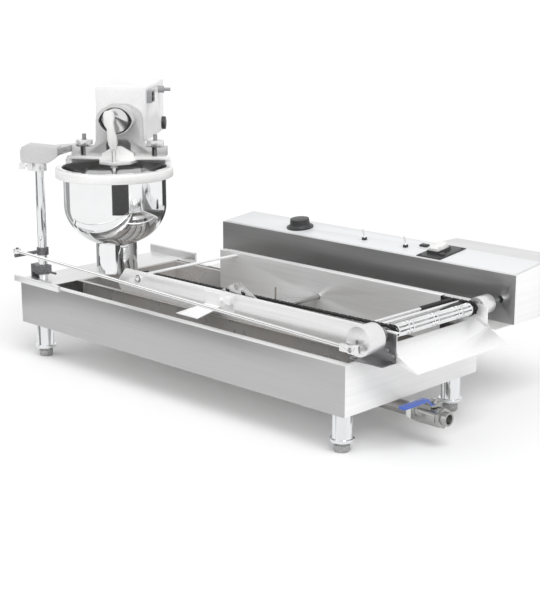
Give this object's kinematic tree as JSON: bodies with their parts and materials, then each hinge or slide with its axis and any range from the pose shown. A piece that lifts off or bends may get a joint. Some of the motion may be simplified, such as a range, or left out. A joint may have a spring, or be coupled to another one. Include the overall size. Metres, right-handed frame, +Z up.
{
  "type": "doughnut fryer",
  "caption": "Bench doughnut fryer: swinging dough hopper with a driven plunger, long frying tank with a chain conveyor and flipper, outfeed drum, chute, drain valve and rear control box.",
  "frame": {"origin": "centre of the bounding box at table height", "axes": "+X along the case towards the outfeed chute, +Y from the front towards the control box, +Z up"},
  "size_m": [1.1302, 0.644, 0.5905],
  "materials": {
    "case_sheet": "brushed stainless sheet",
    "tank_sheet": "used stainless sheet",
    "bracket_sheet": "dull stainless sheet",
    "polished_steel": "mirror polished",
    "bright_rod": "ground and bright",
    "turned_alloy": "satin turned",
    "cast_alloy": "light grey cast",
    "pale_alloy": "fine blasted",
    "dark_steel": "dull",
    "chain_steel": "oiled black",
    "heater_steel": "heat darkened",
    "motor_paint": "semi gloss",
    "valve_metal": "cast and plated",
    "blue_grip": "blue dipped grip",
    "white_paint": "smooth white",
    "white_plastic": "smooth white",
    "panel_film": "silver film",
    "black_plastic": "fine grained black"
  },
  "bodies": {
    "base": {"case_shell": "case_sheet", "leg_tubes": "polished_steel", "left_deck": "case_sheet", "fry_tank": "tank_sheet", "heating_element": "heater_steel", "front_side_plate": "case_sheet", "rear_side_plate": "case_sheet", "end_bracket": "bracket_sheet", "shaft_bearings": "dark_steel", "frame_bolts": "dark_steel", "chain_guides": "tank_sheet", "chains": "chain_steel", "push_rods": "bright_rod", "discharge_chute": "case_sheet", "flipper_stop": "case_sheet", "drain_pipe": "valve_metal", "valve_body": "valve_metal", "box_shelf": "case_sheet", "control_box": "case_sheet", "gear_housing": "case_sheet", "control_panel": "panel_film", "gear_motor": "motor_paint", "panel_fittings": "black_plastic", "column_bracket": "dark_steel"},
    "front_left_foot": {"foot_front_left": "dark_steel"},
    "front_right_foot": {"foot_front_right": "dark_steel"},
    "rear_left_foot": {"foot_rear_left": "dark_steel"},
    "rear_right_foot": {"foot_rear_right": "dark_steel"},
    "drive": {"drive_shaft": "bright_rod", "shaft_drums": "turned_alloy", "outfeed_drum": "bright_rod"},
    "idler": {"idle_shaft": "bright_rod"},
    "flipper_plate": {"flipper": "tank_sheet"},
    "valve_handle": {"valve_lever": "blue_grip", "valve_ball": "bright_rod"},
    "rocker": {"main_rocker": "white_plastic"},
    "knob": {"thermostat_knob": "black_plastic"},
    "left_toggle": {"toggle_left": "polished_steel"},
    "right_toggle": {"toggle_right": "polished_steel"},
    "swing": {"column": "polished_steel", "swing_lever": "dark_steel", "column_clamp": "turned_alloy", "arm": "cast_alloy", "yoke": "cast_alloy", "hopper_ring": "pale_alloy", "hopper_bowl": "polished_steel", "hopper_bridge": "pale_alloy", "forming_cylinder": "pale_alloy", "swing_bolts": "dark_steel", "head_housing": "white_paint", "head_motor": "motor_paint"},
    "rod": {"connecting_rod": "bright_rod"},
    "clamp_handle": {"clamp_screw": "polished_steel"},
    "crank": {"head_crank": "polished_steel"},
    "plunger": {"plunger_rod": "polished_steel", "piston": "white_plastic"},
    "link": {"plunger_link": "white_plastic"},
    "left_nut": {"ring_nut_left": "turned_alloy"},
    "right_nut": {"ring_nut_right": "turned_alloy"},
    "rear_rocker": {"head_rocker": "black_plastic"}
  },
  "joints": [
    {"name": "front_left_foot_height", "type": "slide", "parent": "base", "child": "front_left_foot", "axis": [0, 0, -1], "range_m": [0, 0.015]},
    {"name": "front_right_foot_height", "type": "slide", "parent": "base", "child": "front_right_foot", "axis": [0, 0, -1], "range_m": [0, 0.015]},
    {"name": "rear_left_foot_height", "type": "slide", "parent": "base", "child": "rear_left_foot", "axis": [0, 0, -1], "range_m": [0, 0.015]},
    {"name": "rear_right_foot_height", "type": "slide", "parent": "base", "child": "rear_right_foot", "axis": [0, 0, -1], "range_m": [0, 0.015]},
    {"name": "drive_spin", "type": "hinge", "parent": "base", "child": "drive", "pos_m": [0.48609, -0.0685, 0.22], "axis": [0, 1, 0], "continuous": true},
    {"name": "idler_spin", "type": "hinge", "parent": "base", "child": "idler", "pos_m": [-0.17491, -0.0685, 0.213], "axis": [0, 1, 0], "continuous": true},
    {"name": "flipper_turn", "type": "hinge", "parent": "base", "child": "flipper_plate", "pos_m": [0.10409, -0.0685, 0.178], "axis": [0, 1, 0], "range_deg": [0, 100]},
    {"name": "valve_turn", "type": "hinge", "parent": "base", "child": "valve_handle", "pos_m": [0.53209, -0.113, 0.058], "axis": [0, 0, 1], "range_deg": [0, 90]},
    {"name": "main_switch", "type": "hinge", "parent": "base", "child": "rocker", "pos_m": [0.29709, 0.19704, 0.28354], "axis": [1, 0, 0], "range_deg": [-6, 6]},
    {"name": "thermostat_turn", "type": "hinge", "parent": "base", "child": "knob", "pos_m": [-0.08791, 0.1946, 0.27824], "axis": [0, -0.1093, 0.994], "range_deg": [0, 300]},
    {"name": "left_toggle_tilt", "type": "hinge", "parent": "base", "child": "left_toggle", "pos_m": [0.10409, 0.19006, 0.28297], "axis": [1, 0, 0], "range_deg": [-28, 0]},
    {"name": "right_toggle_tilt", "type": "hinge", "parent": "base", "child": "right_toggle", "pos_m": [0.21609, 0.19006, 0.28297], "axis": [1, 0, 0], "range_deg": [-28, 0]},
    {"name": "hopper_swing", "type": "hinge", "parent": "base", "child": "swing", "pos_m": [-0.44991, -0.247, 0.3], "axis": [0, 0, 1], "range_deg": [-8.6, 8.6]},
    {"name": "rod_turn", "type": "hinge", "parent": "swing", "child": "rod", "pos_m": [-0.44991, -0.314, 0.26], "axis": [0, 0, 1], "range_deg": [-8.7, 8.7]},
    {"name": "clamp_screw_turn", "type": "hinge", "parent": "swing", "child": "clamp_handle", "pos_m": [-0.44991, -0.247, 0.425], "axis": [0.7771, 0.6293, 0], "continuous": true},
    {"name": "crank_spin", "type": "hinge", "parent": "swing", "child": "crank", "pos_m": [-0.35944, -0.09653, 0.522], "axis": [-0.6293, 0.7771, 0], "continuous": true},
    {"name": "plunger_stroke", "type": "slide", "parent": "swing", "child": "plunger", "axis": [0, 0, 1], "range_m": [-0.0234, 0.0025]},
    {"name": "link_tilt", "type": "hinge", "parent": "plunger", "child": "link", "pos_m": [-0.32168, -0.14316, 0.46599], "axis": [-0.6293, 0.7771, 0], "range_deg": [-1, 8]},
    {"name": "left_nut_turn", "type": "hinge", "parent": "swing", "child": "left_nut", "pos_m": [-0.42398, -0.14236, 0.47], "axis": [0, 0, 1], "continuous": true},
    {"name": "right_nut_turn", "type": "hinge", "parent": "swing", "child": "right_nut", "pos_m": [-0.30119, -0.04293, 0.47], "axis": [0, 0, 1], "continuous": true},
    {"name": "head_switch", "type": "hinge", "parent": "swing", "child": "rear_rocker", "pos_m": [-0.35013, -0.00793, 0.5665], "axis": [-0.6293, 0.7771, 0], "range_deg": [-6, 6]}
  ],
  "couplings": [
    {"joint": "idler_spin", "follows": "drive_spin", "ratio": 1},
    {"joint": "rod_turn", "follows": "hopper_swing", "ratio": -1},
    {"joint": "link_tilt", "follows": "plunger_stroke", "rad_per_m": -5.3646}
  ]
}
